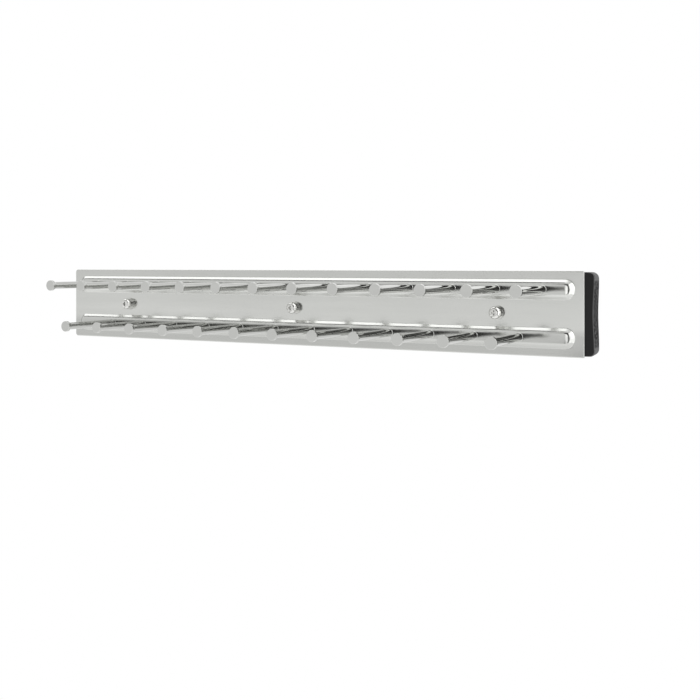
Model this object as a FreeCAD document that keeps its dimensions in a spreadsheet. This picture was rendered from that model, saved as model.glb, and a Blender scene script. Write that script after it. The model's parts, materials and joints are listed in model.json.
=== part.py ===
import FreeCAD, Part
import math
import os
import Sketcher

# Pull-out tie rack on a three-member ball slide. Millimetres, +Z up.
# The origin lies on the mounting face of the fixed rail, at mid length and mid height.
# +X is the way the rack pulls out, and the pegs point along -Y, away from the wardrobe's side.
sizes = {
    # pegs and their pattern
    "peg_pitch": 35.0,
    "upper_peg_count": 13,
    "row_spacing": 35.0,
    "peg_diameter": 6.0,
    "peg_length": 60.0,
    "head_diameter": 9.0,
    "head_thickness": 2.4,
    "head_chamfer": 0.5,
    "neck_length": 2.0,
    # pressed sheet plate with two long beads
    "plate_end_margin": 30.0,
    "plate_edge_margin": 13.5,
    "plate_gauge": 1.2,
    "plate_rear_corner": 2.5,
    "plate_front_corner": 0.8,
    "bead_width": 15.6,
    "bead_height": 2.5,
    "bead_slope": 40.0,
    "bead_end_margin": 6.6,
    "bead_crest_radius": 3.2,
    "bead_foot_radius": 0.7,
    # screws through the plate, with the pieces stacked on them
    # screw_step counts the peg pitches from one screw to the next
    "screw_step": 5,
    "screw_diameter": 5.0,
    "screw_head_diameter": 9.8,
    "screw_head_height": 4.6,
    "screw_head_round": 1.6,
    "screw_end_reach": 0.6,
    "recess_width": 5.4,
    "recess_slot": 1.3,
    "recess_depth": 2.0,
    "screw_clearance": 0.2,
    "spring_washer_diameter": 9.6,
    "spring_washer_thickness": 1.8,
    "spring_washer_split": 12.0,
    "washer_diameter": 10.8,
    "washer_thickness": 1.6,
    "spacer_diameter": 14.0,
    "spacer_thickness": 3.2,
    "nut_flats": 8.0,
    "nut_thickness": 4.0,
    # rolled rails of the ball slide
    "slide_inset": 15.0,
    "slide_height": 45.0,
    "slide_depth": 12.7,
    "rail_gauge": 1.0,
    "rail_corner": 0.9,
    "web_gap": 0.5,
    "lip_setback": 1.0,
    "inner_flange_setback": 2.0,
    "stage_travel": 210.0,
    # balls, races and cages
    "ball_diameter": 3.2,
    "race_clearance": 0.1,
    "race_flat": 0.8,
    "race_edge": 2.2,
    "balls_per_strip": 4,
    "cage_stop_gap": 20.0,
    "cage_thickness": 0.6,
    "cage_width": 4.4,
    "cage_end_margin": 10.0,
    "cage_corner": 1.2,
    # pins across the races, which stop the cages where the rails are drawn right out
    "stop_diameter": 2.0,
    "stop_reach": 0.4,
    "stop_clearance": 0.1,
    # holes for the wardrobe's panel screws, and the way to them
    "far_hole_spacing": 384.0,
    "near_hole_spacing": 192.0,
    "panel_hole_diameter": 4.6,
    "access_hole_diameter": 9.0,
    # rear buffer
    "buffer_length": 8.0,
    "buffer_height": 26.0,
    "buffer_gap": 0.4,
    "buffer_corner": 2.0,
    "buffer_plug_diameter": 6.0,
    # moulded end handle
    "handle_height": 60.0,
    "handle_overhang": 7.1,
    "handle_tuck": 12.5,
    "handle_wall_gap": 0.7,
    "handle_corner": 6.5,
    "handle_front_corner": 3.5,
    "handle_waist": 1.0,
    "handle_rear_waist": 0.9,
    "handle_shell": 2.4,
    "handle_edge_round": 1.5,
    "handle_floor": 4.0,
    "boss_diameter": 10.0,
    "boss_height": 3.0,
    "stud_diameter": 4.0,
    "stud_spacing": 36.0,
    "stud_inset": 5.5,
    "stud_end_reach": 0.8,
    "stud_clearance": 0.15,
    "stud_nut_flats": 7.0,
    "stud_nut_thickness": 3.2,
}

doc = FreeCAD.newDocument("tie_rack")
sheet = doc.addObject("Spreadsheet::Sheet", "Sizes")
for row, (alias, number) in enumerate(sizes.items(), start=1):
    sheet.set(f"A{row}", alias)
    sheet.set(f"B{row}", str(number))
    sheet.setAlias(f"B{row}", alias)
doc.recompute()


class Size:
    # A length that carries both its number and the sheet formula that gives it.
    def __init__(self, number, formula):
        self.number = number
        self.formula = formula

    def joined(self, other, sign, number):
        other_formula = other.formula if isinstance(other, Size) else str(other)
        return Size(number, f"({self.formula} {sign} {other_formula})")

    def __add__(self, other):
        return self.joined(other, "+", self.number + plain(other))

    def __sub__(self, other):
        return self.joined(other, "-", self.number - plain(other))

    def __mul__(self, other):
        return self.joined(other, "*", self.number * plain(other))

    def __truediv__(self, other):
        return self.joined(other, "/", self.number / plain(other))

    def __neg__(self):
        return Size(-self.number, f"(-1 * {self.formula})")


def plain(value):
    return value.number if isinstance(value, Size) else value


def cell(alias):
    return Size(float(sheet.get(alias)), f"Sizes.{alias}")


def square_root(value):
    return Size(math.sqrt(value.number), f"sqrt({value.formula})")


def tangent(angle):
    return Size(math.tan(math.radians(angle.number)), f"tan({angle.formula})")


nothing = Size(0.0, "0")
full_turn = Size(360.0, "360")
hexagon_half_angle = Size(30.0, "30")
# Lengths in mm, and volumes in cubic mm, that differ by less than this count as the same.
near = 1e-4


def bind(thing, property_name, value):
    thing.setExpression(property_name, value.formula)


def place(thing, x=nothing, y=nothing, z=nothing):
    for axis, value in zip("xyz", (x, y, z)):
        bind(thing, f"Placement.Base.{axis}", value)


def new_body(label):
    body = doc.addObject("PartDesign::Body", label)
    body.Label = label
    return body


def new_sketch(body, name, plane_role, lift=nothing):
    # A sketch on one of the body's own planes, lifted along the plane's normal.
    plane = next(item for item in body.Origin.OriginFeatures if item.Role == plane_role)
    sketch = body.newObject("Sketcher::SketchObject", f"{body.Label}_{name}")
    sketch.AttachmentSupport = [(plane, "")]
    sketch.MapMode = "FlatFace"
    bind(sketch, "AttachmentOffset.Base.z", lift)
    return sketch


def pin_point(sketch, geometry, point, x, y):
    # Holds a point at its place from the sketch's origin.
    for kind, value, axis in (("DistanceX", x, -2), ("DistanceY", y, -1)):
        if value.formula == "0":
            sketch.addConstraint(Sketcher.Constraint("PointOnObject", geometry, point, axis))
        else:
            index = sketch.addConstraint(
                Sketcher.Constraint(kind, -1, 1, geometry, point, value.number)
            )
            sketch.setExpression(f"Constraints[{index}]", value.formula)


def add_circle(sketch, x, y, radius):
    centre = FreeCAD.Vector(x.number, y.number, 0)
    circle = sketch.addGeometry(Part.Circle(centre, FreeCAD.Vector(0, 0, 1), radius.number))
    pin_point(sketch, circle, 3, x, y)
    index = sketch.addConstraint(Sketcher.Constraint("Radius", circle, radius.number))
    sketch.setExpression(f"Constraints[{index}]", radius.formula)


def arc_between(start, end, radius, turn):
    # The shorter arc from start to end. It turns left where turn is 1, and right where it is -1.
    chord = end - start
    side = FreeCAD.Vector(-chord.y, chord.x, 0).normalize() * turn
    reach = math.sqrt(radius ** 2 - (chord.Length / 2) ** 2)
    centre = (start + end) * 0.5 + side * reach
    return Part.Arc(start, centre - side * radius, end)


def add_outline(sketch, corners):
    # A closed outline. A corner is (x, y), reached by a line, or (x, y, radius, turn), by an arc.
    points = [FreeCAD.Vector(corner[0].number, corner[1].number, 0) for corner in corners]
    ends = []
    for i, corner in enumerate(corners):
        start, end = points[i - 1], points[i]
        if len(corner) == 2:
            piece = sketch.addGeometry(Part.LineSegment(start, end))
        else:
            radius, turn = corner[2], corner[3]
            piece = sketch.addGeometry(arc_between(start, end, radius.number, turn))
            index = sketch.addConstraint(Sketcher.Constraint("Radius", piece, radius.number))
            sketch.setExpression(f"Constraints[{index}]", radius.formula)
        forward = sketch.getPoint(piece, 1).distanceToPoint(start) < near
        ends.append((piece, 1, 2) if forward else (piece, 2, 1))
    for i, corner in enumerate(corners):
        piece, first, last = ends[i]
        following, following_first, following_last = ends[(i + 1) % len(ends)]
        sketch.addConstraint(
            Sketcher.Constraint("Coincident", piece, last, following, following_first)
        )
        pin_point(sketch, piece, last, corner[0], corner[1])


def rounded_corner(x, y, radius, x_side, y_side, turn, x_first):
    # The two points of a rounded corner, inside the sharp corner (x, y) on the given sides.
    on_level = (x + radius * x_side, y)
    on_upright = (x, y + radius * y_side)
    first, last = (on_level, on_upright) if x_first else (on_upright, on_level)
    return [first, (*last, radius, turn)]


def pad(body, sketch, length, back=False):
    feature = body.newObject("PartDesign::Pad", f"{sketch.Name}_pad")
    feature.Profile = sketch
    bind(feature, "Length", length)
    feature.Reversed = back
    return feature


def pocket(body, sketch, depth, back=False):
    # Cuts against the sketch's normal, or along it where back is set, and must remove something.
    doc.recompute()
    before = body.Shape.Volume
    feature = body.newObject("PartDesign::Pocket", f"{sketch.Name}_cut")
    feature.Profile = sketch
    bind(feature, "Length", depth)
    feature.Reversed = back
    doc.recompute()
    if not near < body.Shape.Volume < before - near:
        raise RuntimeError(f"{feature.Name} cuts nothing, or everything")
    return feature


def loft(body, first, following):
    feature = body.newObject("PartDesign::AdditiveLoft", f"{first.Name}_loft")
    feature.Profile = first
    feature.Sections = following
    feature.Ruled = True
    return feature


def revolve(body, sketch, angle=full_turn):
    feature = body.newObject("PartDesign::Revolution", f"{sketch.Name}_turn")
    feature.Profile = sketch
    feature.ReferenceAxis = (sketch, ["V_Axis"])
    bind(feature, "Angle", angle)
    return feature


def repeat(body, feature, sketch, axis, span, count):
    pattern = body.newObject("PartDesign::LinearPattern", f"{feature.Name}_row")
    pattern.Originals = [feature]
    pattern.Direction = (sketch, [axis])
    bind(pattern, "Length", span)
    pattern.Occurrences = int(count)
    body.Tip = pattern
    return pattern


def fillet(body, radius, wanted):
    # Rounds the edges of the body so far that the test picks.
    doc.recompute()
    tip = body.Tip
    names = [f"Edge{i}" for i, edge in enumerate(tip.Shape.Edges, start=1) if wanted(edge)]
    feature = body.newObject("PartDesign::Fillet", f"{tip.Name}_round")
    feature.Base = (tip, names)
    bind(feature, "Radius", radius)


def lies_on(edge, axis, level):
    # True where the whole edge lies in the plane across the axis at that level.
    box = edge.BoundBox
    low = getattr(box, f"{axis}Min")
    high = getattr(box, f"{axis}Max")
    return abs(low - level) < near and abs(high - level) < near


# Overall places, worked out from the driving sizes.
pitch = cell("peg_pitch")
upper_count = int(sizes["upper_peg_count"])
plate_length = pitch * (cell("upper_peg_count") - 1) + cell("plate_end_margin") * 2
plate_height = cell("row_spacing") + cell("plate_edge_margin") * 2
row_height = cell("row_spacing") / 2
gauge = cell("rail_gauge")
slide_length = plate_length - cell("slide_inset") * 2
slide_front = slide_length / 2
plate_back = -(cell("slide_depth") + cell("spacer_thickness"))
plate_front = plate_back - cell("plate_gauge")
bead_crest = plate_front - cell("bead_height")
screw_spacing = pitch * cell("screw_step")

sub_parts = []


def finished(thing):
    sub_parts.append(thing)


def peg(label, x, z):
    # A turned peg, standing on the bead's crest, with a flat chamfered head and a conical neck.
    body = new_body(label)
    sketch = new_sketch(body, "profile", "XY_Plane")
    shank = cell("peg_diameter") / 2
    head = cell("head_diameter") / 2
    chamfer = cell("head_chamfer")
    tip = -cell("peg_length")
    head_back = tip + cell("head_thickness")
    add_outline(sketch, [
        (nothing, tip),
        (head - chamfer, tip),
        (head, tip + chamfer),
        (head, head_back),
        (shank, head_back + cell("neck_length")),
        (shank, nothing),
        (nothing, nothing),
    ])
    revolve(body, sketch)
    place(body, x, bead_crest, z)
    finished(body)


def slot_outline(width, length, x_margin, z):
    # A long slot with round ends, centred on a level, from one end margin to the other.
    half = width / 2
    left = x_margin + half
    right = length - x_margin - half
    return [
        (left, z - half, half, 1),
        (right, z - half),
        (right + half, z, half, 1),
        (right, z + half, half, 1),
        (left, z + half),
        (left - half, z, half, 1),
    ]


def rack_plate():
    # A pressed sheet: its back lies on the body's XZ plane, and the two beads rise towards -Y.
    body = new_body("rack_plate")
    half = plate_height / 2
    thickness = cell("plate_gauge")
    rise = cell("bead_height")
    slope = cell("bead_slope")
    front_corner = cell("plate_front_corner")
    rear_corner = cell("plate_rear_corner")
    outline = new_sketch(body, "outline", "XZ_Plane")
    add_outline(
        outline,
        rounded_corner(nothing, -half, rear_corner, 1, 1, 1, False)
        + rounded_corner(plate_length, -half, front_corner, -1, 1, 1, True)
        + rounded_corner(plate_length, half, front_corner, -1, -1, 1, False)
        + rounded_corner(nothing, half, rear_corner, 1, -1, 1, True),
    )
    pad(body, outline, thickness)
    margin = cell("bead_end_margin")
    wall_shift = thickness * tangent(slope / 2)
    for name, level in (("upper", row_height), ("lower", -row_height)):
        bead = new_sketch(body, f"{name}_bead", "XZ_Plane", thickness)
        add_outline(bead, slot_outline(cell("bead_width"), plate_length, margin, level))
        raised = pad(body, bead, rise)
        bind(raised, "TaperAngle", -slope)
    foot = cell("bead_foot_radius")
    crest = cell("bead_crest_radius")
    fillet(body, foot, lambda edge: on_bead(edge, -thickness.number))
    fillet(body, crest, lambda edge: lies_on(edge, "Y", -(thickness + rise).number))
    for name, level in (("upper", row_height), ("lower", -row_height)):
        hollow = new_sketch(body, f"{name}_hollow", "XZ_Plane")
        width = cell("bead_width") - wall_shift * 2
        add_outline(hollow, slot_outline(width, plate_length, margin + wall_shift, level))
        pressed = pocket(body, hollow, rise, back=True)
        bind(pressed, "TaperAngle", -slope)
    fillet(body, crest - thickness, lambda edge: lies_on(edge, "Y", -rise.number))
    fillet(body, foot + thickness, lambda edge: on_bead(edge, 0.0))
    holes = new_sketch(body, "screw_holes", "XZ_Plane")
    for step in (-1, 0, 1):
        add_circle(holes, plate_length / 2 + screw_spacing * step, nothing, screw_bore)
    pocket(body, holes, thickness, back=True)
    place(body, -plate_length / 2, plate_back)
    finished(body)


def on_bead(edge, level):
    # An edge of a bead's foot: on the plate's front, and away from the plate's own outline.
    box = edge.BoundBox
    inside = box.XMin > near and box.XMax < plate_length.number - near
    between = abs(box.Center.z) < plate_height.number / 2 - near
    return lies_on(edge, "Y", level) and inside and between


def ring(label, outer, inner, thickness, y):
    # Three flat rings on the screws, each with its front face at the height given.
    body = new_body(label)
    sketch = new_sketch(body, "ring", "XZ_Plane")
    add_circle(sketch, nothing, nothing, outer)
    add_circle(sketch, nothing, nothing, inner)
    feature = pad(body, sketch, thickness, back=True)
    repeat(body, feature, sketch, "H_Axis", screw_spacing * 2, 3)
    place(body, -screw_spacing, y)
    finished(body)


def hexagon(flats):
    # Corner points of a hexagon with two level sides.
    half = flats / 2
    corner = flats * tangent(hexagon_half_angle) / 2
    return [
        (corner, half),
        (-corner, half),
        (-corner * 2, nothing),
        (-corner, -half),
        (corner, -half),
        (corner * 2, nothing),
    ]


def nuts(label, flats, bore, thickness, axis, span, count, x, y, z):
    # A row of hexagon nuts, each with its front face at y.
    body = new_body(label)
    sketch = new_sketch(body, "hexagon", "XZ_Plane")
    add_outline(sketch, hexagon(flats))
    add_circle(sketch, nothing, nothing, bore)
    feature = pad(body, sketch, thickness, back=True)
    repeat(body, feature, sketch, axis, span, count)
    place(body, x, y, z)
    finished(body)


def spring_washers(y):
    # Split lock washers: a square section turned through less than a full circle.
    body = new_body("plate_spring_washers")
    sketch = new_sketch(body, "section", "XY_Plane")
    outer = cell("spring_washer_diameter") / 2
    thickness = cell("spring_washer_thickness")
    add_outline(sketch, [
        (screw_bore, nothing),
        (outer, nothing),
        (outer, thickness),
        (screw_bore, thickness),
    ])
    feature = revolve(body, sketch, full_turn - cell("spring_washer_split"))
    repeat(body, feature, sketch, "H_Axis", screw_spacing * 2, 3)
    place(body, -screw_spacing, y)
    finished(body)


def plate_screws(seat, end):
    # Pan-head screws with a cross recess, from the seat of the head to the end behind the nut.
    body = new_body("plate_screws")
    profile = new_sketch(body, "profile", "XY_Plane")
    head = cell("screw_head_diameter") / 2
    height = cell("screw_head_height")
    crown = cell("screw_head_round")
    shank = cell("screw_diameter") / 2
    add_outline(profile, [
        (nothing, -height),
        (head - crown, -height),
        (head, crown - height, crown, 1),
        (head, nothing),
        (shank, nothing),
        (shank, end - seat),
        (nothing, end - seat),
    ])
    turned = revolve(body, profile)
    recess = new_sketch(body, "recess", "XZ_Plane", height)
    arm = cell("recess_width") / 2
    slot = cell("recess_slot") / 2
    add_outline(recess, [
        (slot, slot), (slot, arm), (-slot, arm),
        (-slot, slot), (-arm, slot), (-arm, -slot),
        (-slot, -slot), (-slot, -arm), (slot, -arm),
        (slot, -slot), (arm, -slot), (arm, slot),
    ])
    cross = pocket(body, recess, cell("recess_depth"))
    pattern = repeat(body, turned, profile, "H_Axis", screw_spacing * 2, 3)
    pattern.Originals = [turned, cross]
    place(body, -screw_spacing, seat)
    finished(body)


# The stack on each screw, from the plate's front outwards and from its back inwards.
screw_bore = cell("screw_diameter") / 2 + cell("screw_clearance")
washer_front = plate_front - cell("washer_thickness")
head_seat = washer_front - cell("spring_washer_thickness")
rail_web_back = -cell("slide_depth") + gauge
screw_end = rail_web_back + cell("nut_thickness") + cell("screw_end_reach")

# The two ball races: depth from the mounting face and height from mid height, at the ball's centre.
race = cell("ball_diameter") / 2 + cell("race_clearance")
race_back = race + gauge
flat = cell("race_flat")
outer_race_y = -(gauge * 2 + cell("web_gap") + cell("race_edge"))
inner_race_y = -(cell("slide_depth") - gauge - cell("race_edge"))
outer_race_z = cell("slide_height") / 2 - race_back
inner_race_z = outer_race_z - flat * 2 - gauge
stop = cell("stop_diameter") / 2
groove_half = square_root(race * race - flat * flat)
ridge_half = square_root(race_back * race_back - (flat + gauge) * (flat + gauge))
flange_end = cell("lip_setback") - cell("slide_depth")
middle_web_back = -(gauge + cell("web_gap"))
middle_web_front = middle_web_back - gauge


def whole_section(upper_half):
    # Mirrors the upper half of a rail's section about mid height. Arcs keep their turn.
    lower_half = []
    for i in range(len(upper_half) - 1, -1, -1):
        y, z = upper_half[i][:2]
        came_by = upper_half[i + 1][2:] if i + 1 < len(upper_half) else ()
        lower_half.append((y, -z, *came_by))
    return upper_half + lower_half


def rail(label, upper_half, start, length):
    # A rolled rail: its section lies across X and is drawn out along it.
    body = new_body(label)
    section = new_sketch(body, "section", "YZ_Plane")
    add_outline(section, whole_section(upper_half))
    pad(body, section, length)
    place(body, start)
    finished(body)
    return body


def web_holes(body, name, radius, start, web_front, spacings):
    # Round holes through a rail's web, in pairs about the middle of the slide.
    sketch = new_sketch(body, name, "XZ_Plane", -web_front)
    for spacing in spacings:
        for side in (-1, 1):
            add_circle(sketch, spacing * side / 2 - start, nothing, radius)
    pocket(body, sketch, gauge)


def rails():
    rear = -slide_front
    moving_rear = rear + cell("buffer_length") + cell("buffer_gap")
    moving_length = slide_front - moving_rear
    outer_in = outer_race_z + flat
    outer_out = outer_in + gauge
    outer = rail("slide_outer_rail", [
        (nothing, outer_out),
        (outer_race_y + ridge_half, outer_out),
        (outer_race_y - ridge_half, outer_out, race_back, 1),
        (flange_end, outer_out),
        (flange_end, outer_in),
        (outer_race_y - groove_half, outer_in),
        (outer_race_y + groove_half, outer_in, race, -1),
        (-gauge, outer_in),
    ], rear, slide_length)
    middle_out = outer_race_z - flat
    middle_in = middle_out - gauge
    middle = rail("slide_middle_rail", [
        (middle_web_back, middle_out),
        (outer_race_y + groove_half, middle_out),
        (outer_race_y - groove_half, middle_out, race, -1),
        (inner_race_y + ridge_half, middle_out),
        (inner_race_y - ridge_half, middle_out, race_back, 1),
        (flange_end, middle_out),
        (flange_end, middle_in),
        (inner_race_y - groove_half, middle_in),
        (inner_race_y + groove_half, middle_in, race, -1),
        (outer_race_y - ridge_half, middle_in),
        (outer_race_y + ridge_half, middle_in, race_back, 1),
        (middle_web_front, middle_in),
    ], moving_rear, moving_length)
    inner_out = inner_race_z - flat
    inner_in = inner_out - gauge
    inner_end = middle_web_front - cell("inner_flange_setback")
    inner = rail("slide_inner_rail", [
        (rail_web_back, inner_in),
        (inner_race_y - ridge_half, inner_in),
        (inner_race_y + ridge_half, inner_in, race_back, 1),
        (inner_end, inner_in),
        (inner_end, inner_out),
        (inner_race_y + groove_half, inner_out),
        (inner_race_y - groove_half, inner_out, race, -1),
        (-cell("slide_depth"), inner_out),
    ], moving_rear, moving_length)
    pairs = (cell("far_hole_spacing"), cell("near_hole_spacing"))
    hole = cell("panel_hole_diameter") / 2
    access = cell("access_hole_diameter") / 2
    web_holes(outer, "panel_holes", hole, rear, -gauge, pairs)
    web_holes(middle, "access_holes", access, moving_rear, middle_web_front, pairs)
    inner_web = -cell("slide_depth")
    web_holes(inner, "access_holes", access, moving_rear, inner_web, pairs)
    web_holes(inner, "screw_holes", screw_bore, moving_rear, inner_web, (screw_spacing * 2,))
    middle_hole = new_sketch(inner, "middle_screw_hole", "XZ_Plane", -inner_web)
    add_circle(middle_hole, -moving_rear, nothing, screw_bore)
    pocket(inner, middle_hole, gauge)
    plug_hole = new_sketch(outer, "plug_hole", "XZ_Plane", gauge)
    add_circle(plug_hole, cell("buffer_length") / 2, nothing, buffer_plug + cell("screw_clearance"))
    pocket(outer, plug_hole, gauge)
    stop_x = slide_front - cell("cage_stop_gap") + stop + cell("stop_clearance")
    outer_stops = new_body("outer_rail_stops")
    middle_stops = new_body("middle_rail_stops")
    inner_stops = new_body("inner_rail_stops")
    stop_pins(outer_stops, outer, rear, stop_x, outer_race_y, outer_race_z, 1)
    stop_pins(middle_stops, middle, moving_rear, -stop_x, outer_race_y, outer_race_z, -1)
    stop_pins(middle_stops, middle, moving_rear, stop_x, inner_race_y, inner_race_z, 1)
    stop_pins(inner_stops, inner, moving_rear, -stop_x, inner_race_y, inner_race_z, -1)
    for body in (outer_stops, middle_stops, inner_stops):
        finished(body)
    fillet(outer, cell("rail_corner"), along_rail_back)


def along_rail_back(edge):
    # The long edges of the fixed rail's back, where its web bends into the flanges.
    return lies_on(edge, "Y", 0.0) and edge.BoundBox.XLength > slide_length.number / 2


def stop_pins(body, host, host_start, x, y, z, outward):
    # A pin across the upper race and one across the lower, pressed into the host's race wall.
    # The wall lies above the upper race's centre where outward is 1, and below it where it is -1.
    end = "front" if x.number > 0 else "rear"
    for row, side in (("upper", 1), ("lower", -1)):
        wall_back = (z + race_back * outward) * side
        upwards = outward * side > 0
        bore = new_sketch(host, f"{row}_{end}_stop_bore", "XY_Plane", wall_back)
        add_circle(bore, x - host_start, y, stop)
        pocket(host, bore, race_back - flat, back=not upwards)
        section = new_sketch(body, f"{row}_{end}_section", "XY_Plane", wall_back)
        add_circle(section, x, y, stop)
        pad(body, section, race_back + cell("stop_reach"), back=upwards)


buffer_plug = cell("buffer_plug_diameter") / 2


def rear_buffer():
    # A rubber block behind the moving rails, held by a plug in the fixed rail's web.
    body = new_body("rear_buffer")
    half = cell("buffer_height") / 2
    corner = cell("buffer_corner")
    length = cell("buffer_length")
    front = new_sketch(body, "front", "XZ_Plane", gauge)
    add_outline(
        front,
        rounded_corner(nothing, -half, corner, 1, 1, 1, False)
        + rounded_corner(length, -half, corner, -1, 1, 1, True)
        + rounded_corner(length, half, corner, -1, -1, 1, False)
        + rounded_corner(nothing, half, corner, 1, -1, 1, True),
    )
    pad(body, front, cell("slide_depth") - cell("lip_setback") - gauge)
    plug = new_sketch(body, "plug", "XZ_Plane", gauge)
    add_circle(plug, length / 2, nothing, buffer_plug)
    pad(body, plug, gauge, back=True)
    place(body, -slide_front)
    finished(body)


cage_length = slide_length - cell("stage_travel") - cell("cage_stop_gap") * 2
ball_span = cage_length - cell("cage_end_margin") * 2
ball_gaps = cell("balls_per_strip") - 1


def cage_strip(label, y, z):
    # A thin strip with a round pocket for each ball, midway between two races.
    body = new_body(label)
    outline = new_sketch(body, "outline", "XY_Plane")
    half = cell("cage_width") / 2
    corner = cell("cage_corner")
    end = cage_length / 2
    add_outline(
        outline,
        rounded_corner(-end, -half, corner, 1, 1, 1, False)
        + rounded_corner(end, -half, corner, -1, 1, 1, True)
        + rounded_corner(end, half, corner, -1, -1, 1, False)
        + rounded_corner(-end, half, corner, 1, -1, 1, True),
    )
    thickness = cell("cage_thickness")
    pad(body, outline, thickness)
    first = new_sketch(body, "pocket", "XY_Plane")
    add_circle(first, -ball_span / 2, nothing, race)
    hole = pocket(body, first, thickness, back=True)
    repeat(body, hole, first, "H_Axis", ball_span, sizes["balls_per_strip"])
    place(body, nothing, y, z - thickness / 2)
    finished(body)


def balls(label, y, z):
    # The balls of an upper and a lower strip, loose in their pockets.
    spheres = []
    for side in (1, -1):
        for i in range(int(sizes["balls_per_strip"])):
            sphere = doc.addObject("Part::Sphere", f"{label}_ball")
            bind(sphere, "Radius", cell("ball_diameter") / 2)
            place(sphere, -ball_span / 2 + ball_span * i / ball_gaps, y, z * side)
            spheres.append(sphere)
    group = doc.addObject("Part::Compound", label)
    group.Label = label
    group.Links = spheres
    finished(group)


# The handle's inner end stands clear of the rails, and its outer end past the plate.
handle_length = cell("handle_tuck") + cell("handle_overhang")
handle_start = plate_length / 2 - cell("handle_tuck")
handle_depth = -plate_back - cell("handle_wall_gap")
stud_x = plate_length / 2 - cell("stud_inset")
stud_bore = cell("stud_diameter") / 2 + cell("stud_clearance")
nut_seat = cell("handle_floor") + cell("boss_height")
stud_end = nut_seat + cell("stud_nut_thickness") + cell("stud_end_reach")


def handle_outline(inset, waist, outer_corner):
    # The handle seen from the front: square inner end, rounded corners, and a waist drawn in.
    # Each corner's arc turns a little past upright, so that it runs smoothly into the waist.
    half = cell("handle_height") / 2 - inset
    corner = outer_corner - inset
    end = handle_length - inset
    level = half - corner
    half_turn = waist / level
    over = half_turn * half_turn + 1
    lean_sine = half_turn * 2 / over
    lean_cosine = (-(half_turn * half_turn) + 1) / over
    waist_radius = level / lean_sine - corner
    bend_x = end - corner + corner * lean_cosine
    bend_z = level - corner * lean_sine
    return [
        (inset, -half),
        (end - corner, -half),
        (bend_x, -bend_z, corner, 1),
        (end - waist, nothing, waist_radius, -1),
        (bend_x, bend_z, waist_radius, -1),
        (end - corner, half, corner, 1),
        (inset, half),
    ]


def handle_grip():
    # A moulded end handle behind the plate: a shell open towards the wardrobe, with two bosses.
    # Its front edge is broken. Its grip side is drawn in, and its corners grow rounder towards the back.
    body = new_body("handle_grip")
    waist = cell("handle_waist")
    corner = cell("handle_corner")
    front_corner = cell("handle_front_corner")
    edge = cell("handle_edge_round")
    front = new_sketch(body, "front", "XZ_Plane")
    add_outline(front, handle_outline(edge, waist, front_corner))
    side = new_sketch(body, "side", "XZ_Plane", -edge)
    add_outline(side, handle_outline(nothing, waist, front_corner))
    rear = new_sketch(body, "rear", "XZ_Plane", -handle_depth)
    add_outline(rear, handle_outline(nothing, cell("handle_rear_waist"), corner))
    loft(body, front, [side, rear])
    mouth = new_sketch(body, "mouth", "XZ_Plane", -handle_depth)
    add_outline(mouth, handle_outline(cell("handle_shell"), waist, corner))
    pocket(body, mouth, handle_depth - cell("handle_floor"), back=True)
    bosses = new_sketch(body, "bosses", "XZ_Plane", -cell("handle_floor"))
    bores = new_sketch(body, "bores", "XZ_Plane")
    boss_x = stud_x - handle_start
    for end in (-1, 1):
        boss_z = cell("stud_spacing") * end / 2
        add_circle(bosses, boss_x, boss_z, cell("boss_diameter") / 2)
        add_circle(bores, boss_x, boss_z, stud_bore)
    pad(body, bosses, cell("boss_height"), back=True)
    pocket(body, bores, nut_seat)
    place(body, handle_start, plate_back)
    finished(body)


def handle_studs():
    # Two studs welded to the plate's back, which hold the handle.
    body = new_body("handle_studs")
    sketch = new_sketch(body, "section", "XZ_Plane")
    add_circle(sketch, nothing, nothing, cell("stud_diameter") / 2)
    feature = pad(body, sketch, stud_end, back=True)
    repeat(body, feature, sketch, "V_Axis", cell("stud_spacing"), 2)
    place(body, stud_x, plate_back, -cell("stud_spacing") / 2)
    finished(body)


rack_plate()
for i in range(upper_count):
    peg(f"upper_peg_{i + 1:02d}", pitch * (i - (upper_count - 1) / 2), row_height)
for i in range(upper_count - 1):
    peg(f"lower_peg_{i + 1:02d}", pitch * (i - (upper_count - 2) / 2), -row_height)
plate_screws(head_seat, screw_end)
spring_washers(head_seat)
ring("plate_washers", cell("washer_diameter") / 2, screw_bore, cell("washer_thickness"), washer_front)
ring("plate_spacers", cell("spacer_diameter") / 2, screw_bore, cell("spacer_thickness"), plate_back)
nuts(
    "plate_nuts", cell("nut_flats"), screw_bore, cell("nut_thickness"),
    "H_Axis", screw_spacing * 2, 3, -screw_spacing, rail_web_back, nothing,
)
rails()
rear_buffer()
for row, side in (("upper", 1), ("lower", -1)):
    cage_strip(f"outer_cage_{row}_strip", outer_race_y, outer_race_z * side)
    cage_strip(f"inner_cage_{row}_strip", inner_race_y, inner_race_z * side)
balls("outer_cage_balls", outer_race_y, outer_race_z)
balls("inner_cage_balls", inner_race_y, inner_race_z)
handle_grip()
handle_studs()
nuts(
    "handle_nuts", cell("stud_nut_flats"), stud_bore, cell("stud_nut_thickness"),
    "V_Axis", cell("stud_spacing"), 2, stud_x, plate_back + nut_seat, -cell("stud_spacing") / 2,
)

doc.recompute()
for thing in doc.Objects:
    if "Invalid" in thing.State or "Error" in thing.State:
        raise RuntimeError(f"{thing.Label} failed: {thing.State}")
for thing in sub_parts:
    if thing.Shape.isNull() or not thing.Shape.isValid():
        raise RuntimeError(f"{thing.Label} has no valid shape")

os.makedirs("parts", exist_ok=True)
for thing in sub_parts:
    thing.Shape.exportStep(f"parts/{thing.Label}.step")
print(len(sub_parts), "sub-parts written")
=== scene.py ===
import bmesh
import bpy
import json
import math
from mathutils import Matrix, Vector


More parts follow.
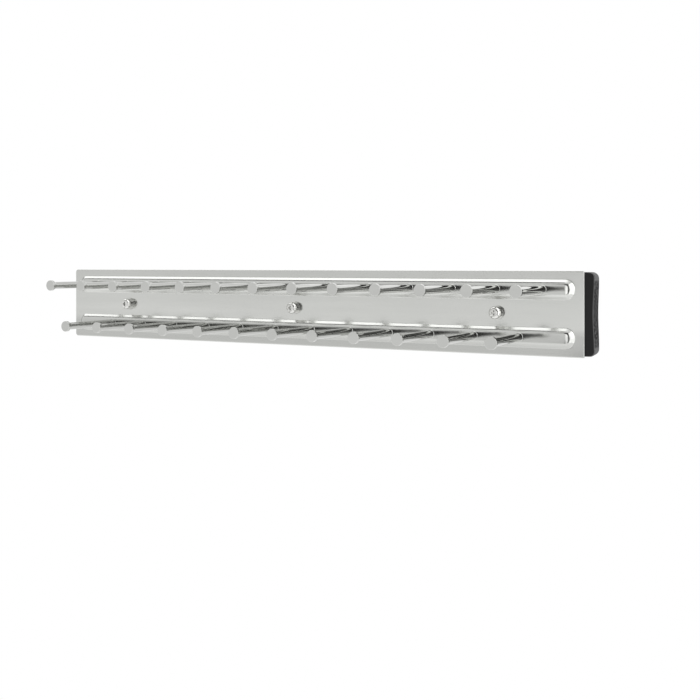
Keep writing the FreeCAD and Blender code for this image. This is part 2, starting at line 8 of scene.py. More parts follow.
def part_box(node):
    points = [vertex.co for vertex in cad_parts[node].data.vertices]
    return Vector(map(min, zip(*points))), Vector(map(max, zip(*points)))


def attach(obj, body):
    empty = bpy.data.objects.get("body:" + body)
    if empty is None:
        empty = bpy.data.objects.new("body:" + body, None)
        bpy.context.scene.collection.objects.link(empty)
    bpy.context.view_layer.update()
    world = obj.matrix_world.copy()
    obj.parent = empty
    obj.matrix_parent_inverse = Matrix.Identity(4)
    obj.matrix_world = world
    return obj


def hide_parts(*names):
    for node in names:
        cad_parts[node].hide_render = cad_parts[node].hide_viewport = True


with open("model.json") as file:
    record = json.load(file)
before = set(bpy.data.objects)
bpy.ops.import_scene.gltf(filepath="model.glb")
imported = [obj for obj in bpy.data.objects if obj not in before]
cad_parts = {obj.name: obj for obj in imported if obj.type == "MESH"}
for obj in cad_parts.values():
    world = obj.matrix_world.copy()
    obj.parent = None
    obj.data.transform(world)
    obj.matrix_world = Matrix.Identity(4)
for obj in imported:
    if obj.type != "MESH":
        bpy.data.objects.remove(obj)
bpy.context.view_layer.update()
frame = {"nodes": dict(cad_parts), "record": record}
scene = bpy.context.scene
scene.view_settings.view_transform = "Standard"
mm = 0.001
hair = 0.01  # millimetres within which two places count as one


# node-tree helpers

def put(tree, kind, inputs, **settings):
    node = tree.nodes.new(kind)
    for name, value in settings.items():
        setattr(node, name, value)
    for name, value in inputs.items():
        if isinstance(value, bpy.types.NodeSocket):
            tree.links.new(value, node.inputs[name])
        else:
            node.inputs[name].default_value = value
    return node


def newMaterial(name):
    material = bpy.data.materials.new(name)
    material.use_nodes = True
    tree = material.node_tree
    shader = tree.nodes["Principled BSDF"]
    return material, tree, shader


def objectPoint(tree, scale=(1, 1, 1)):
    # object coordinates stretched along each axis
    where = put(tree, "ShaderNodeTexCoord", {})
    return put(tree, "ShaderNodeMapping", {"Vector": where.outputs["Object"], "Scale": scale}).outputs[0]


def facingWay(tree):
    # the direction that the surface faces
    return put(tree, "ShaderNodeTexCoord", {}).outputs["Normal"]


def axes(tree, vector):
    return put(tree, "ShaderNodeSeparateXYZ", {"Vector": vector}).outputs


def combine(tree, operation, first, second):
    return put(tree, "ShaderNodeMath", {0: first, 1: second}, operation=operation).outputs[0]


def noise(tree, point, scale, detail=3.0, roughness=0.5):
    inputs = {"Vector": point, "Scale": scale, "Detail": detail, "Roughness": roughness}
    return put(tree, "ShaderNodeTexNoise", inputs).outputs["Fac"]


def spread(tree, value, low, high, start=0.3, end=0.7):
    # the range from start to end, by default the noise's usual one, drawn out to low and high
    inputs = {"Value": value, "From Min": start, "From Max": end, "To Min": low, "To Max": high}
    return put(tree, "ShaderNodeMapRange", inputs).outputs[0]


def twoTone(tree, factor, dark, light):
    return blend(tree, factor, (*dark, 1), (*light, 1))


def blend(tree, factor, first, second):
    inputs = {"Factor": factor, "A": first, "B": second}
    return put(tree, "ShaderNodeMix", inputs, data_type="RGBA").outputs["Result"]


def bump(tree, height, distance, strength=1.0, normal=None):
    inputs = {"Height": height, "Distance": distance, "Strength": strength}
    if normal:
        inputs["Normal"] = normal
    return put(tree, "ShaderNodeBump", inputs).outputs[0]


def wire(tree, shader, **sockets):
    names = {"color": "Base Color", "roughness": "Roughness", "normal": "Normal"}
    for short, socket in sockets.items():
        tree.links.new(socket, shader.inputs[names[short]])


# finishes

chrome = {
    "streakStretch": (0.08, 1, 1), "streakScale": 90.0, "streakLight": 1.07,
    "smearStretch": (0.35, 1, 1), "smearScale": 160.0,
    "lowerShadeFade": (-0.016, -0.0105), "upperShadeFade": (-0.004, 0.02), "upperShadeShare": 1.25,  # heights in metres
    "downFacing": (-0.5, -0.3), "downDull": 2.2, "upFacing": (0.3, 0.5), "upDull": 0.6,
    "rippleScale": 24.0, "peelScale": 900.0, "peelDepth": 0.0000012,
}


def brightChrome(name, tint, wave, haze, bowShadeAndDull=0.0):
    # plating over pressed steel: a faint waviness, a fine orange peel and a little handling haze;
    # the base colour is painted lighter through the middle and darker in the strips along the long edges, a
    # painted reflection of the sheet's bowed shape,
    # and the polish is duller where the sheet faces down and a little softer where it faces up
    material, tree, shader = newMaterial(name)
    shader.inputs["Metallic"].default_value = 1.0
    point = objectPoint(tree)
    streaks = noise(tree, objectPoint(tree, chrome["streakStretch"]), chrome["streakScale"])
    light = tuple(c * chrome["streakLight"] for c in tint)
    color = twoTone(tree, spread(tree, streaks, 0, 1), tint, light)
    height = axes(tree, point)["Z"]
    # painted reflection: the colour is scaled darker towards the bottom and top edges and lighter through the
    # middle
    lower = spread(tree, height, 1 - bowShadeAndDull, 1 + bowShadeAndDull, *chrome["lowerShadeFade"])
    upper = spread(tree, height, 1, 1 - bowShadeAndDull * chrome["upperShadeShare"], *chrome["upperShadeFade"])
    tone = combine(tree, "MULTIPLY", lower, upper)
    color = put(tree, "ShaderNodeVectorMath", {0: color, "Scale": tone}, operation="SCALE").outputs["Vector"]
    smear = noise(tree, objectPoint(tree, chrome["smearStretch"]), chrome["smearScale"], 5.0, 0.6)
    upward = axes(tree, facingWay(tree))["Z"]
    dull = spread(tree, upward, bowShadeAndDull * chrome["downDull"], 0, *chrome["downFacing"])
    soft = spread(tree, upward, 0, bowShadeAndDull * chrome["upDull"], *chrome["upFacing"])
    roughness = combine(tree, "ADD", spread(tree, smear, *haze), dull)
    roughness = combine(tree, "ADD", roughness, soft)
    ripple = bump(tree, noise(tree, point, chrome["rippleScale"], 1.0), wave)
    peel = bump(tree, noise(tree, point, chrome["peelScale"], 2.0), chrome["peelDepth"], normal=ripple)
    wire(tree, shader, color=color, roughness=roughness, normal=peel)
    return material


plating = {"darker": 0.84, "cloudScale": 55.0, "scoreDepth": 0.000012, "scoreStrength": 0.5}


def platedSteel(name, tint, lines, roughness, streak=(1, 60, 60)):
    # bright zinc or nickel with drawing lines along one way and a cloudy passivation
    material, tree, shader = newMaterial(name)
    shader.inputs["Metallic"].default_value = 1.0
    drawn = noise(tree, objectPoint(tree, streak), lines, 4.0, 0.65)
    cloud = noise(tree, objectPoint(tree), plating["cloudScale"], 4.0)
    dark = tuple(c * plating["darker"] for c in tint)
    color = twoTone(tree, spread(tree, cloud, 0, 1), dark, tint)
    scored = bump(tree, drawn, plating["scoreDepth"], plating["scoreStrength"])
    wire(tree, shader, color=color, roughness=spread(tree, drawn, *roughness), normal=scored)
    return material


moulding = {"cloudScale": 90.0, "speckScale": 1500.0}


def mouldedBlack(name, dark, light, roughness, grain, specular):
    # moulded plastic or rubber with a fine spark-eroded grain
    material, tree, shader = newMaterial(name)
    shader.inputs["Specular IOR Level"].default_value = specular
    point = objectPoint(tree)
    cloud = noise(tree, point, moulding["cloudScale"], 4.0)
    color = twoTone(tree, spread(tree, cloud, 0, 1), dark, light)
    speck = noise(tree, point, moulding["speckScale"], 3.0, 0.6)
    wire(tree, shader, color=color, roughness=spread(tree, cloud, *roughness), normal=bump(tree, speck, grain))
    return material


grip = {
    "patchHeight": (0.0225, 0.0245), "patchDepth": (-0.0014, -0.0009),  # metres over which the patch fades
    "wallFacing": (-0.85, -0.45), "edgeStart": (-0.9, -0.75), "edgeEnd": (-0.4, -0.25),
    "coarseStretch": (1, 1, 0.8), "coarseScale": 760.0, "fineScale": 1700.0, "mottleRange": (0.47, 0.62),
    "coarseDepth": 0.0003, "fineDepth": 0.00002,
    # the patch and margin tones are painted lighter than the face's, a painted sheen of light grazing the wall
    "patchGrainSheenTones": ((0.012, 0.012, 0.0125), (0.11, 0.11, 0.11)),
    "marginSheenTones": ((0.036, 0.036, 0.037), (0.052, 0.052, 0.052)),
    "faceTones": ((0.0085, 0.0085, 0.0085), (0.0105, 0.0105, 0.0105)),
    # painted highlight tones for the rounded edge between face and wall
    "edgeHighlightTones": ((0.07, 0.07, 0.07), (0.1, 0.1, 0.1)),
    "roughness": (0.5, 0.85), "specular": (0.2, 0.04), "meanSpecular": 0.12,  # smooth parts, then patch
}


def handlePlastic():
    # the face and the wall's margin are smooth and the grip patch on the wall is coarsely grained; the wall is
    # painted lighter than the face, a painted sheen of light grazing it, mottled on the patch, and the rounded
    # edge between face and wall carries a painted highlight
    material, tree, shader = newMaterial("handleBlack")
    facing = axes(tree, facingWay(tree))["Y"]
    place = axes(tree, objectPoint(tree))
    height = put(tree, "ShaderNodeMath", {0: place["Z"]}, operation="ABSOLUTE").outputs[0]
    onWall = spread(tree, facing, 0, 1, *grip["wallFacing"])
    withinHeight = spread(tree, height, 1, 0, *grip["patchHeight"])
    withinDepth = spread(tree, place["Y"], 1, 0, *grip["patchDepth"])
    patch = combine(tree, "MULTIPLY", combine(tree, "MULTIPLY", withinHeight, withinDepth), onWall)
    pastFace = spread(tree, facing, 0, 1, *grip["edgeStart"])
    beforeWall = spread(tree, facing, 1, 0, *grip["edgeEnd"])
    onEdge = combine(tree, "MULTIPLY", pastFace, beforeWall)
    coarse = noise(tree, objectPoint(tree, grip["coarseStretch"]), grip["coarseScale"], 3.0, 0.6)
    fine = noise(tree, objectPoint(tree), grip["fineScale"], 2.0)
    # grip patch: the mottling follows the grain, and its light tone is painted sheen
    mottledSheen = twoTone(tree, spread(tree, coarse, 0, 1, *grip["mottleRange"]), *grip["patchGrainSheenTones"])
    # the wall's smooth margin is painted lighter than the face, a painted sheen
    marginSheen = twoTone(tree, spread(tree, fine, 0, 1), *grip["marginSheenTones"])
    face = twoTone(tree, spread(tree, fine, 0, 1), *grip["faceTones"])
    # painted highlight along the rounded edge, where it catches the light
    edgeHighlight = twoTone(tree, spread(tree, coarse, 0, 1), *grip["edgeHighlightTones"])
    color = blend(tree, patch, blend(tree, onWall, face, marginSheen), mottledSheen)
    color = blend(tree, onEdge, color, edgeHighlight)
    rough = spread(tree, patch, *grip["roughness"], 0, 1)
    specular = shader.inputs["Specular IOR Level"]
    specular.default_value = grip["meanSpecular"]  # where a reader drops the link
    tree.links.new(spread(tree, patch, *grip["specular"], 0, 1), specular)
    grained = bump(tree, combine(tree, "MULTIPLY", coarse, patch), grip["coarseDepth"])
    wire(tree, shader, color=color, roughness=rough, normal=bump(tree, fine, grip["fineDepth"], normal=grained))
    return material


even = (1, 1, 1)
finishes = {
    "chrome_plate": brightChrome(
        "chromePlate", (0.526, 0.531, 0.513), wave=0.000004, haze=(0.12, 0.16), bowShadeAndDull=0.1,
    ),
    "chrome_pegs": brightChrome("chromePegs", (0.5, 0.504, 0.488), wave=0.000003, haze=(0.03, 0.06)),
    "screw_steel": platedSteel(
        "screwNickel", (0.68, 0.68, 0.66), lines=900.0, roughness=(0.05, 0.13), streak=even,
    ),
    "zinc_fixings": platedSteel(
        "zincFixings", (0.6, 0.62, 0.64), lines=700.0, roughness=(0.25, 0.4), streak=even,
    ),
    "rail_zinc": platedSteel("railZinc", (0.62, 0.64, 0.66), lines=30.0, roughness=(0.2, 0.38)),
    "cage_steel": platedSteel("cageSteel", (0.46, 0.46, 0.44), lines=40.0, roughness=(0.28, 0.45)),
    "ball_steel": platedSteel(
        "ballSteel", (0.66, 0.66, 0.66), lines=300.0, roughness=(0.04, 0.1), streak=even,
    ),
    "spacer_nylon": mouldedBlack(
        "spacerNylon", (0.045, 0.045, 0.046), (0.06, 0.06, 0.06),
        roughness=(0.4, 0.5), grain=0.00002, specular=0.4,
    ),
    "buffer_rubber": mouldedBlack(
        "bufferRubber", (0.03, 0.03, 0.03), (0.045, 0.045, 0.044),
        roughness=(0.65, 0.8), grain=0.00004, specular=0.3,
    ),
    "handle_black": handlePlastic(),
}
print("finishes made:", len(finishes))


# mesh helpers

def chain(bm, points, closed=False):
    # a run of loose edges through a few corner points, in millimetres
    verts = [bm.verts.new(Vector(point) * mm) for point in points]
    for pair in zip(verts, verts[1:]):
        bm.edges.new(pair)
    if closed:
        bm.edges.new((verts[-1], verts[0]))
    return verts


def looseEdges(bm):
    return [e for e in bm.edges if e.is_wire]


def circleAt(bm, x, y, z, radius):
    # a circle of loose edges facing along Y
    stand = Matrix.Translation(Vector((x, y, z)) * mm)
    lie = Matrix.Rotation(math.radians(90), 4, "X")
    made = bmesh.ops.create_circle(bm, segments=40, radius=radius * mm, matrix=stand @ lie)
    return [e for e in looseEdges(bm) if e.verts[0] in made["verts"]]


def roundCorners(bm, verts, offset, segments):
    bmesh.ops.bevel(
        bm, geom=verts, offset=offset * mm, offset_type="OFFSET", segments=segments,
        profile=0.5, affect="VERTICES", material=-1,
    )


def roundEdges(bm, edges, offset, segments):
    bmesh.ops.bevel(
        bm, geom=edges, offset=offset * mm, offset_type="OFFSET", segments=segments,
        profile=0.5, affect="EDGES", material=-1, clamp_overlap=True,
    )


def turn(bm, edges, centre, degrees, steps, full=False):
    # spins a profile about an axis along Y
    made = bmesh.ops.spin(
        bm, geom=edges, cent=Vector(centre) * mm, axis=(0, 1, 0), dvec=(0, 0, 0),
        angle=math.radians(degrees), steps=steps, use_merge=full,
    )
    return [item for item in made["geom_last"] if isinstance(item, bmesh.types.BMEdge)]


def draw(bm, edges, way):
    # extrudes edges along a straight way, in millimetres
    made = bmesh.ops.extrude_edge_only(bm, edges=edges)["geom"]
    verts = [item for item in made if isinstance(item, bmesh.types.BMVert)]
    bmesh.ops.translate(bm, verts=verts, vec=Vector(way) * mm)
    return [item for item in made if isinstance(item, bmesh.types.BMEdge)]


def fill(bm, edges, facing):
    # flat faces between loops, facing to the front (-1) or to the back (1)
    bmesh.ops.triangle_fill(bm, edges=edges, use_beauty=True, normal=(0, facing, 0))


def merge(bm):
    bmesh.ops.remove_doubles(bm, verts=bm.verts[:], dist=0.002 * mm)  # the seams of a spin


def faceOutwards(bm):
    bmesh.ops.recalc_face_normals(bm, faces=bm.faces[:])


def steepEdges(bm, degrees=60.0):
    limit = math.radians(degrees)
    return [e for e in bm.edges if len(e.link_faces) == 2 and e.calc_face_angle() > limit]


def steepEdgesAt(bm, y):
    return [e for e in steepEdges(bm) if all(abs(v.co.y / mm - y) < hair for v in e.verts)]


def asObject(bm, name, material):
    mesh = bpy.data.meshes.new(name)
    bm.to_mesh(mesh)
    bm.free()
    mesh.materials.append(material)
    thing = bpy.data.objects.new(name, mesh)
    scene.collection.objects.link(thing)
    return thing


def asPiece(bm, name, slotName, nodes, sharp=24.0):
    # smooth shading with sharp edges, in place of the CAD node
    for face in bm.faces:
        face.smooth = True
    for edge in steepEdges(bm, sharp):
        edge.smooth = False
    piece = asObject(bm, name, finishes[slotName])
    flatFirst = piece.modifiers.new("flatFirst", "WEIGHTED_NORMAL")
    flatFirst.keep_sharp = True
    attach(piece, "carriage")
    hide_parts(*nodes)
    return piece


# pressed plate with two long beads

plate = {
    "gauge": 1.2, "rearCorner": 2.5, "frontCorner": 0.8, "rowSpacing": 35.0,
    "beadWidth": 14.8, "beadHeight": 2.5, "beadSlope": 40.0, "beadEndMargin": 6.4,
    "crown": 0.12, "crestHalf": 4.4, "crestCuts": 7, "endDip": 0.0093,
    "footRadius": 0.8, "crestRadius": 3.2, "flatRing": 0.3, "arcSegments": 12, "endSteps": 48,
    "holeRadius": 2.7, "screwSpacing": 175.0, "rimRound": 0.18, "rimRing": 0.8, "frontRound": 0.7,
}
screwPlaces = [step * plate["screwSpacing"] for step in (-1, 0, 1)]


def beadSurface(bm, front, level, endX):
    # half of the bead's section, turned round each end and drawn along between them
    half = plate["beadWidth"] / 2
    rise = plate["beadHeight"]
    run = (rise - plate["crown"]) / math.tan(math.radians(plate["beadSlope"]))
    bend = math.tan(math.radians(plate["beadSlope"] / 2))
    corners = chain(bm, [
        (endX, front, level + half + plate["footRadius"] * bend + plate["flatRing"]),
        (endX, front, level + half),
        (endX, front - rise, level + half - run),
        (endX, front - rise, level),
    ])
    middle = corners[3]
    roundCorners(bm, [corners[1]], plate["footRadius"] * bend, plate["arcSegments"])
    roundCorners(bm, [corners[2]], plate["crestRadius"] * bend, plate["arcSegments"])
    bmesh.ops.subdivide_edges(bm, edges=list(middle.link_edges), cuts=plate["crestCuts"])
    lower = turn(bm, looseEdges(bm), (endX, 0, level), 180, plate["endSteps"])
    farLower = draw(bm, lower, (-2 * endX, 0, 0))
    farUpper = turn(bm, farLower, (-endX, 0, level), 180, plate["endSteps"])
    draw(bm, farUpper, (2 * endX, 0, 0))
    merge(bm)


def plateOutline(bm, right, top, front, inset):
    wide, high = right - inset, top - inset
    corners = chain(bm, [
        (-wide, front, -high), (wide, front, -high), (wide, front, high), (-wide, front, high),
    ], closed=True)
    roundCorners(bm, [corners[0], corners[3]], plate["rearCorner"] - inset, segments=6)
    roundCorners(bm, [corners[1], corners[2]], max(plate["frontCorner"] - inset, 0.1), segments=4)


def ringBetween(bm, makeRim, makeOther):
    # two loose loops bridged by a narrow flat ring; the second loop is left open
    makeRim()
    rim = looseEdges(bm)
    makeOther()
    other = [e for e in looseEdges(bm) if e not in rim]
    bmesh.ops.bridge_loops(bm, edges=rim + other)
    return other


def buildPlate():
    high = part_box("rack_plate")[1]
    right, top = high.x / mm, high.z / mm
    front = high.y / mm - plate["gauge"]
    endX = right - plate["beadEndMargin"] - plate["beadWidth"] / 2
    hole, ring = plate["holeRadius"], plate["rimRing"]
    bm = bmesh.new()
    for side in (1, -1):
        beadSurface(bm, front, side * plate["rowSpacing"] / 2, endX)
    for vert in bm.verts:
        # the crest is a little crowned and falls away softly towards each end
        past = max(abs(vert.co.x) / mm - endX, 0)
        away = math.hypot(past, abs(vert.co.z) / mm - plate["rowSpacing"] / 2)
        crowned = plate["crown"] / plate["beadHeight"] * min(away / plate["crestHalf"], 1) ** 2
        vert.co.y += (front * mm - vert.co.y) * (plate["endDip"] * past * past + crowned)
    rims = [e for e in bm.edges if e.is_boundary]
    rims += ringBetween(
        bm, lambda: plateOutline(bm, right, top, front, 0), lambda: plateOutline(bm, right, top, front, ring),
    )
    for x in screwPlaces:
        rims += ringBetween(
            bm, lambda: circleAt(bm, x, front, 0, hole), lambda: circleAt(bm, x, front, 0, hole + ring),
        )
    fill(bm, rims, -1)
    faceOutwards(bm)
    bm.normal_update()
    if sum(f.normal.y * f.calc_area() for f in bm.faces) > 0:
        bmesh.ops.reverse_faces(bm, faces=bm.faces[:])
    bmesh.ops.solidify(bm, geom=bm.faces[:], thickness=plate["gauge"] * mm)
    outline = [e for e in steepEdgesAt(bm, front) if min(abs(v.co.z) for v in e.verts) / mm > hole + hair]
    roundEdges(bm, outline, plate["frontRound"], segments=4)
    roundEdges(bm, steepEdges(bm), plate["rimRound"], segments=2)
    return asPiece(bm, "rackPlate", "chrome_plate", ["rack_plate"])


rackPlate = buildPlate()
print("plate:", len(rackPlate.data.polygons), "faces", [round(v / mm, 2) for v in rackPlate.dimensions])


# headed pegs

peg = {
    "shankRadius": 3.0, "headRadius": 4.5, "headThickness": 2.4, "neckLength": 2.0,
    "rimRound": 0.25, "backRound": 0.3, "neckRound": 0.7, "weldReach": 0.18, "steps": 48,
}


def buildPeg(node):
    low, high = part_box(node)
    middle = (low + high) / (2 * mm)
    x, z = middle.x, middle.z
    tip, base = low.y / mm, high.y / mm
    headBack = tip + peg["headThickness"]
    shank = peg["shankRadius"]
    bm = bmesh.new()
    corners = chain(bm, [
        (x, tip, z),
        (x + peg["headRadius"], tip, z),
        (x + peg["headRadius"], headBack, z),
        (x + shank, headBack + peg["neckLength"], z),
        (x + shank, base - peg["weldReach"], z),
        (x + shank + peg["weldReach"], base, z),
        (x, base, z),
    ])
    roundCorners(bm, [corners[1]], peg["rimRound"], segments=5)
    roundCorners(bm, [corners[2]], peg["backRound"], segments=3)
    roundCorners(bm, [corners[3]], peg["neckRound"], segments=5)
    turn(bm, bm.edges[:], (x, 0, z), 360, peg["steps"], full=True)
    merge(bm)
    faceOutwards(bm)
    words = node.split("_")
    return asPiece(bm, words[0] + "Peg" + words[2], "chrome_pegs", [node])


pegNodes = sorted(name for name in frame["nodes"] if "_peg_" in name)
for name in pegNodes:
    buildPeg(name)
print("pegs:", len(pegNodes))


# screws with their washers

screw = {
    "headRadius": 4.7, "headHeight": 3.6, "crown": 2.6, "crownShare": 0.98, "shankRadius": 2.5, "tipRound": 0.4,
    "recessArm": 1.9, "recessSlot": 0.5, "recessRound": 0.18, "recessDepth": 1.8, "recessTaper": 0.72,
    "washerRadius": 5.3, "springRadius": 4.7, "bore": 2.7, "splitDegrees": 12.0, "edgeRound": 0.15, "steps": 48,
}


def crossLoop(bm, x, y):
    # the recess's outline, from one corner of the cross turned four times
    arm, slot = screw["recessArm"], screw["recessSlot"]
    corner = [(slot, arm), (slot, slot), (arm, slot)]
    points = []
    for quarters in range(4):
        spin = Matrix.Rotation(math.radians(-90 * quarters), 2)
        points += [spin @ Vector(point) for point in corner]
    verts = chain(bm, [(x + p.x, y, p.y) for p in points], closed=True)
    roundCorners(bm, verts, screw["recessRound"], segments=2)
    return looseEdges(bm)


def buildScrews():
    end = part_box("plate_screws")[1].y / mm
    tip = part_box("plate_spring_washers")[0].y / mm - screw["headHeight"]
    seat = tip + screw["headHeight"]
    reach, shank, taper = screw["headRadius"], screw["shankRadius"], screw["recessTaper"]
    bm = bmesh.new()
    for x in screwPlaces:
        cross = crossLoop(bm, x, tip)
        corners = chain(bm, [
            (x + reach - screw["crown"], tip, 0),
            (x + reach, tip, 0),
            (x + reach, seat, 0),
            (x + shank, seat, 0),
            (x + shank, end, 0),
            (x, end, 0),
        ])
        roundCorners(bm, [corners[1]], screw["crown"] * screw["crownShare"], segments=8)
        roundCorners(bm, [corners[2]], screw["edgeRound"], segments=2)
        roundCorners(bm, [corners[4]], screw["tipRound"], segments=2)
        profile = [e for e in looseEdges(bm) if e not in cross]
        turn(bm, profile, (x, 0, 0), 360, screw["steps"], full=True)
        merge(bm)
        rim = [e for e in bm.edges if e.is_boundary]
        fill(bm, rim + cross, -1)
        walls = bmesh.ops.extrude_edge_only(bm, edges=cross)["geom"]
        floorVerts = [item for item in walls if isinstance(item, bmesh.types.BMVert)]
        bmesh.ops.translate(bm, verts=floorVerts, vec=(0, screw["recessDepth"] * mm, 0))
        away = Matrix.Translation((-x * mm, 0, 0))
        bmesh.ops.scale(bm, verts=floorVerts, vec=(taper, 1, taper), space=away)
        fill(bm, [item for item in walls if isinstance(item, bmesh.types.BMEdge)], -1)
    faceOutwards(bm)
    return asPiece(bm, "plateScrews", "screw_steel", ["plate_screws"])


def buildRings(name, node, radius, degrees):
    # square-section rings round the screws, whole or split
    low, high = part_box(node)
    near, far, bore = low.y / mm, high.y / mm, screw["bore"]
    bm = bmesh.new()
    for x in screwPlaces:
        corners = chain(bm, [
            (x + bore, near, 0), (x + radius, near, 0), (x + radius, far, 0), (x + bore, far, 0),
        ], closed=True)
        roundCorners(bm, corners, screw["edgeRound"], segments=2)
        section = looseEdges(bm)
        if degrees < 360:
            bmesh.ops.contextual_create(bm, geom=section)
            last = turn(bm, section, (x, 0, 0), degrees, screw["steps"])
            bmesh.ops.contextual_create(bm, geom=last)
        else:
            turn(bm, section, (x, 0, 0), degrees, screw["steps"], full=True)
    merge(bm)
    faceOutwards(bm)
    return asPiece(bm, name, "screw_steel", [node])


buildScrews()
buildRings("plateWashers", "plate_washers", screw["washerRadius"], 360)
buildRings("springWashers", "plate_spring_washers", screw["springRadius"], 360 - screw["splitDegrees"])
print("screws and washers made")


# moulded end handle

handle = {
    "corner": 4.7, "frontCorner": 3.5, "waist": 1.0, "rearWaist": 0.6, "waistCuts": 31,
    "shell": 2.4, "floor": 4.0, "draft": 0.5, "edgeRound": 1.3, "rearRound": 0.35,
    "roundFrom": 6.5,  # the front's edges are rounded from here, inwards of the studs
    "bossRadius": 5.0, "bossHeight": 3.0, "boreRadius": 2.15, "boreShare": 0.8,  # of the floor's thickness
    "studX": 234.5, "studZ": 18.0,
}


def handleLoop(bm, y, inset, waist, corner, draft=0):
    # the outline seen from the front, with the outer side drawn in at mid height
    low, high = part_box("handle_grip")
    left, right, top = low.x / mm + inset, high.x / mm - inset - draft, high.z / mm - inset
    corners = chain(bm, [
        (left, y, -top), (right, y, -top), (right, y, top), (left, y, top),
    ], closed=True)
    roundCorners(bm, [corners[1], corners[2]], corner - inset, segments=8)
    onRight = [e for e in looseEdges(bm) if all(abs(v.co.x / mm - right) < hair for v in e.verts)]
    outerSide = max(onRight, key=lambda e: e.calc_length())
    level = outerSide.calc_length() / 2
    made = bmesh.ops.subdivide_edges(bm, edges=[outerSide], cuts=handle["waistCuts"])
    for vert in [item for item in made["geom_inner"] if isinstance(item, bmesh.types.BMVert)]:
        drawnIn = waist * mm * math.cos(vert.co.z / level * math.pi / 2) ** 2
        bmesh.ops.translate(bm, verts=[vert], vec=(-drawnIn, 0, 0))


def buildHandle():
    low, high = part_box("handle_grip")
    front, back = low.y / mm, high.y / mm
    floor, studX, studZ = front + handle["floor"], handle["studX"], handle["studZ"]
    bossTop = floor + handle["bossHeight"]
    bm = bmesh.new()
    handleLoop(bm, front, 0, handle["waist"], handle["frontCorner"])
    outer = looseEdges(bm)
    handleLoop(bm, back, 0, handle["rearWaist"], handle["corner"], handle["draft"])
    rimLoop = [e for e in looseEdges(bm) if e not in outer]
    bmesh.ops.bridge_loops(bm, edges=outer + rimLoop)
    bmesh.ops.contextual_create(bm, geom=outer)
    handleLoop(bm, back, handle["shell"], handle["waist"], handle["corner"])
    mouth = looseEdges(bm)
    fill(bm, rimLoop + mouth, 1)
    inner = draw(bm, mouth, (0, floor - back, 0))
    floorLoop = [e for e in inner if e.is_boundary]
    bossLoops = [circleAt(bm, studX, floor, side * studZ, handle["bossRadius"]) for side in (1, -1)]
    fill(bm, floorLoop + sum(bossLoops, []), 1)
    for side, loop in zip((1, -1), bossLoops):
        topLoop = [e for e in draw(bm, loop, (0, handle["bossHeight"], 0)) if e.is_boundary]
        bore = circleAt(bm, studX, bossTop, side * studZ, handle["boreRadius"])
        fill(bm, topLoop + bore, 1)
        draw(bm, bore, (0, -handle["bossHeight"] - handle["floor"] * handle["boreShare"], 0))
        bmesh.ops.holes_fill(bm, edges=[e for e in bm.edges if e.is_boundary], sides=0)
    merge(bm)
    faceOutwards(bm)
    inwards = studX - handle["roundFrom"]
    shown = [e for e in steepEdgesAt(bm, front) if min(v.co.x for v in e.verts) / mm > inwards]
    roundEdges(bm, shown, handle["edgeRound"], segments=5)
    roundEdges(bm, steepEdgesAt(bm, back), handle["rearRound"], segments=2)
    return asPiece(bm, "handleGrip", "handle_black", ["handle_grip"], sharp=30.0)


buildHandle()
print("handle made")


# the slide and the hidden fixings keep their CAD shape

replaced = {"rack_plate", "plate_screws", "plate_washers", "plate_spring_washers", "handle_grip", *pegNodes}
kept = [entry for entry in frame["record"]["subparts"] if entry["node"] not in replaced]
for entry in kept:
    for slot in frame["nodes"][entry["node"]].material_slots:
        slot.material = finishes[entry["material_slot"]]
print("CAD nodes given their finish:", len(kept))


# studio

studio = {
    "floorLevel": -0.62, "floorRadius": 9.0, "floorColor": 0.86, "floorRoughness": 0.9, "floorSpecular": 0.1,
    "floorFade": (0.3, 0.62),  # metres from the middle over which the floor turns white
    "skyForDiffuse": 0.62, "sky": 1.0,
}
lamps = {
    # place, aim, width, height and radiance
    "topLamp": ((-0.3, 0.25, 1.3), (-0.3, 0.25, 0), 4.8, 1.3, 1.2),
    "rightLamp": ((1.6, -0.5, 0.75), (0.2, -0.02, 0), 1.4, 2.2, 0.8),
    "backLamp": ((0.0, 1.8, 0.6), (0, 0, 0.1), 3.0, 0.9, 0.25),
    "edgeLamp": ((1.3, 1.9, 0.0), (0.24, -0.02, 0), 0.9, 0.9, 0.8),
    "stripLamp": ((0.18, -0.725, -0.12), (0.2, -0.02, 0.0), 0.14, 0.44, 0.9),
    "nearLamp": ((0.85, -0.6, 0.1), (0.22, -0.02, 0.02), 0.6, 1.2, 0.85),
    "lowLamp": ((-0.5, -0.9, -0.58), (-0.5, -0.9, 0), 3.4, 2.6, 0.28),
}
flags = {
    # shade and corners of the cards that give the chrome its darker bands
    "ceilingFlag": (0.15, [(-4, -1.35, 1.33), (-0.15, -1.35, 1.33), (-0.15, -0.55, 1.33), (-4, -0.55, 1.33)]),
    "cameraFlag": (0.06, [(0.25, -0.72, -0.1), (0.54, -0.72, -0.1), (0.54, -0.72, 0.5), (0.25, -0.72, 0.5)]),
    "upperFlag": (0.06, [(0.04, -0.73, 0.1), (0.54, -0.73, 0.1), (0.54, -0.73, 0.5), (-0.02, -0.73, 0.5)]),
    "lowFlag": (0.3, [(0.04, -0.74, -0.32), (0.54, -0.74, -0.32), (0.54, -0.74, -0.1), (0.04, -0.74, -0.1)]),
    "cornerFlag": (0.05, [(0.5, -1.34, 0.64), (0.65, -1.3, 0.66), (0.98, -0.5, 1.23), (0.83, -0.57, 1.23)]),
}
view = {
    "sensorWidth": 36.0, "lens": 50.088, "shiftX": -0.0053, "shiftY": -0.1246,
    "place": (0.4180, -0.7039, 0.0373), "degrees": (89.971, 0.0757, 27.847),
}


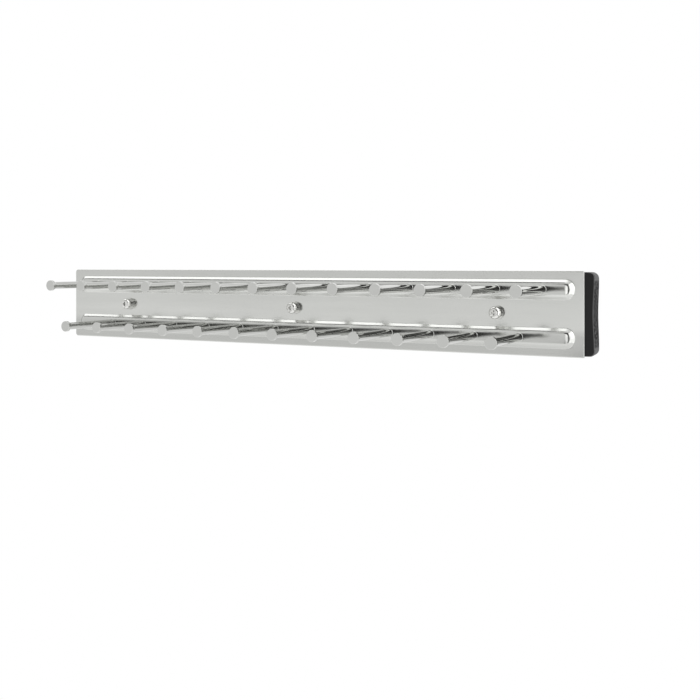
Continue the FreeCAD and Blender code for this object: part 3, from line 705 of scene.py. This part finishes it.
def lamp(name, location, target, width, height, radiance):
    light = bpy.data.lights.new(name, "AREA")
    light.shape = "RECTANGLE"
    light.size, light.size_y = width, height
    light.energy = radiance * math.pi * width * height
    body = bpy.data.objects.new(name, light)
    body.location = location
    body.rotation_euler = (Vector(target) - Vector(location)).to_track_quat("-Z", "Y").to_euler()
    body.visible_camera = False
    scene.collection.objects.link(body)


def card(name, shade, corners):
    # a flag that only shows in reflections
    bm = bmesh.new()
    bm.faces.new([bm.verts.new(corner) for corner in corners])
    material = bpy.data.materials.new(name)
    material.use_nodes = True
    tree = material.node_tree
    tree.nodes.clear()
    glow = put(tree, "ShaderNodeEmission", {"Color": (shade, shade, shade, 1), "Strength": 1.0})
    put(tree, "ShaderNodeOutputMaterial", {"Surface": glow.outputs[0]})
    flag = asObject(bm, name, material)
    flag.visible_camera = False
    flag.visible_diffuse = False
    flag.visible_shadow = False


def paleFloor():
    bm = bmesh.new()
    bmesh.ops.create_circle(
        bm, cap_ends=True, segments=96, radius=studio["floorRadius"],
        matrix=Matrix.Translation((0, 0, studio["floorLevel"])),
    )
    material, tree, shader = newMaterial("paleFloor")
    tone = studio["floorColor"]
    shader.inputs["Base Color"].default_value = (tone, tone, tone, 1)
    shader.inputs["Roughness"].default_value = studio["floorRoughness"]
    shader.inputs["Specular IOR Level"].default_value = studio["floorSpecular"]
    # shaded under the object, white further out and in reflections
    reach = put(tree, "ShaderNodeVectorMath", {0: objectPoint(tree, (1, 1, 0))}, operation="LENGTH")
    far = spread(tree, reach.outputs["Value"], 0, 1, *studio["floorFade"])
    path = put(tree, "ShaderNodeLightPath", {}).outputs
    plain = combine(tree, "MULTIPLY", far, path["Is Camera Ray"])
    for ray in ("Is Glossy Ray", "Is Transmission Ray"):
        plain = combine(tree, "MAXIMUM", plain, path[ray])
    glow = put(tree, "ShaderNodeEmission", {"Color": (1, 1, 1, 1), "Strength": 1.0})
    both = put(tree, "ShaderNodeMixShader", {0: plain, 1: shader.outputs[0], 2: glow.outputs[0]})
    tree.links.new(both.outputs[0], tree.nodes["Material Output"].inputs["Surface"])
    floor = asObject(bm, "paleFloor", material)


def whiteSky():
    # white to the camera and in reflections, dimmer as light
    world = bpy.data.worlds.new("whiteSky")
    scene.world = world
    world.use_nodes = True
    tree = world.node_tree
    tree.nodes.clear()
    path = put(tree, "ShaderNodeLightPath", {}).outputs
    seen = combine(tree, "MAXIMUM", path["Is Camera Ray"], path["Is Glossy Ray"])
    seen = combine(tree, "MAXIMUM", seen, path["Is Transmission Ray"])
    level = spread(tree, seen, studio["skyForDiffuse"], studio["sky"], 0, 1)
    sky = put(tree, "ShaderNodeBackground", {"Color": (1, 1, 1, 1), "Strength": level})
    put(tree, "ShaderNodeOutputWorld", {"Surface": sky.outputs[0]})


def photoCamera():
    camera = bpy.data.cameras.new("photoCamera")
    camera.sensor_width = view["sensorWidth"]
    camera.lens = view["lens"]
    camera.shift_x, camera.shift_y = view["shiftX"], view["shiftY"]
    body = bpy.data.objects.new("photoCamera", camera)
    body.location = view["place"]
    body.rotation_euler = [math.radians(angle) for angle in view["degrees"]]
    scene.collection.objects.link(body)
    scene.camera = body


paleFloor()
whiteSky()
for name, values in lamps.items():
    lamp(name, *values)
for name, values in flags.items():
    card(name, *values)
photoCamera()
print("studio set")

bpy.context.view_layer.update()
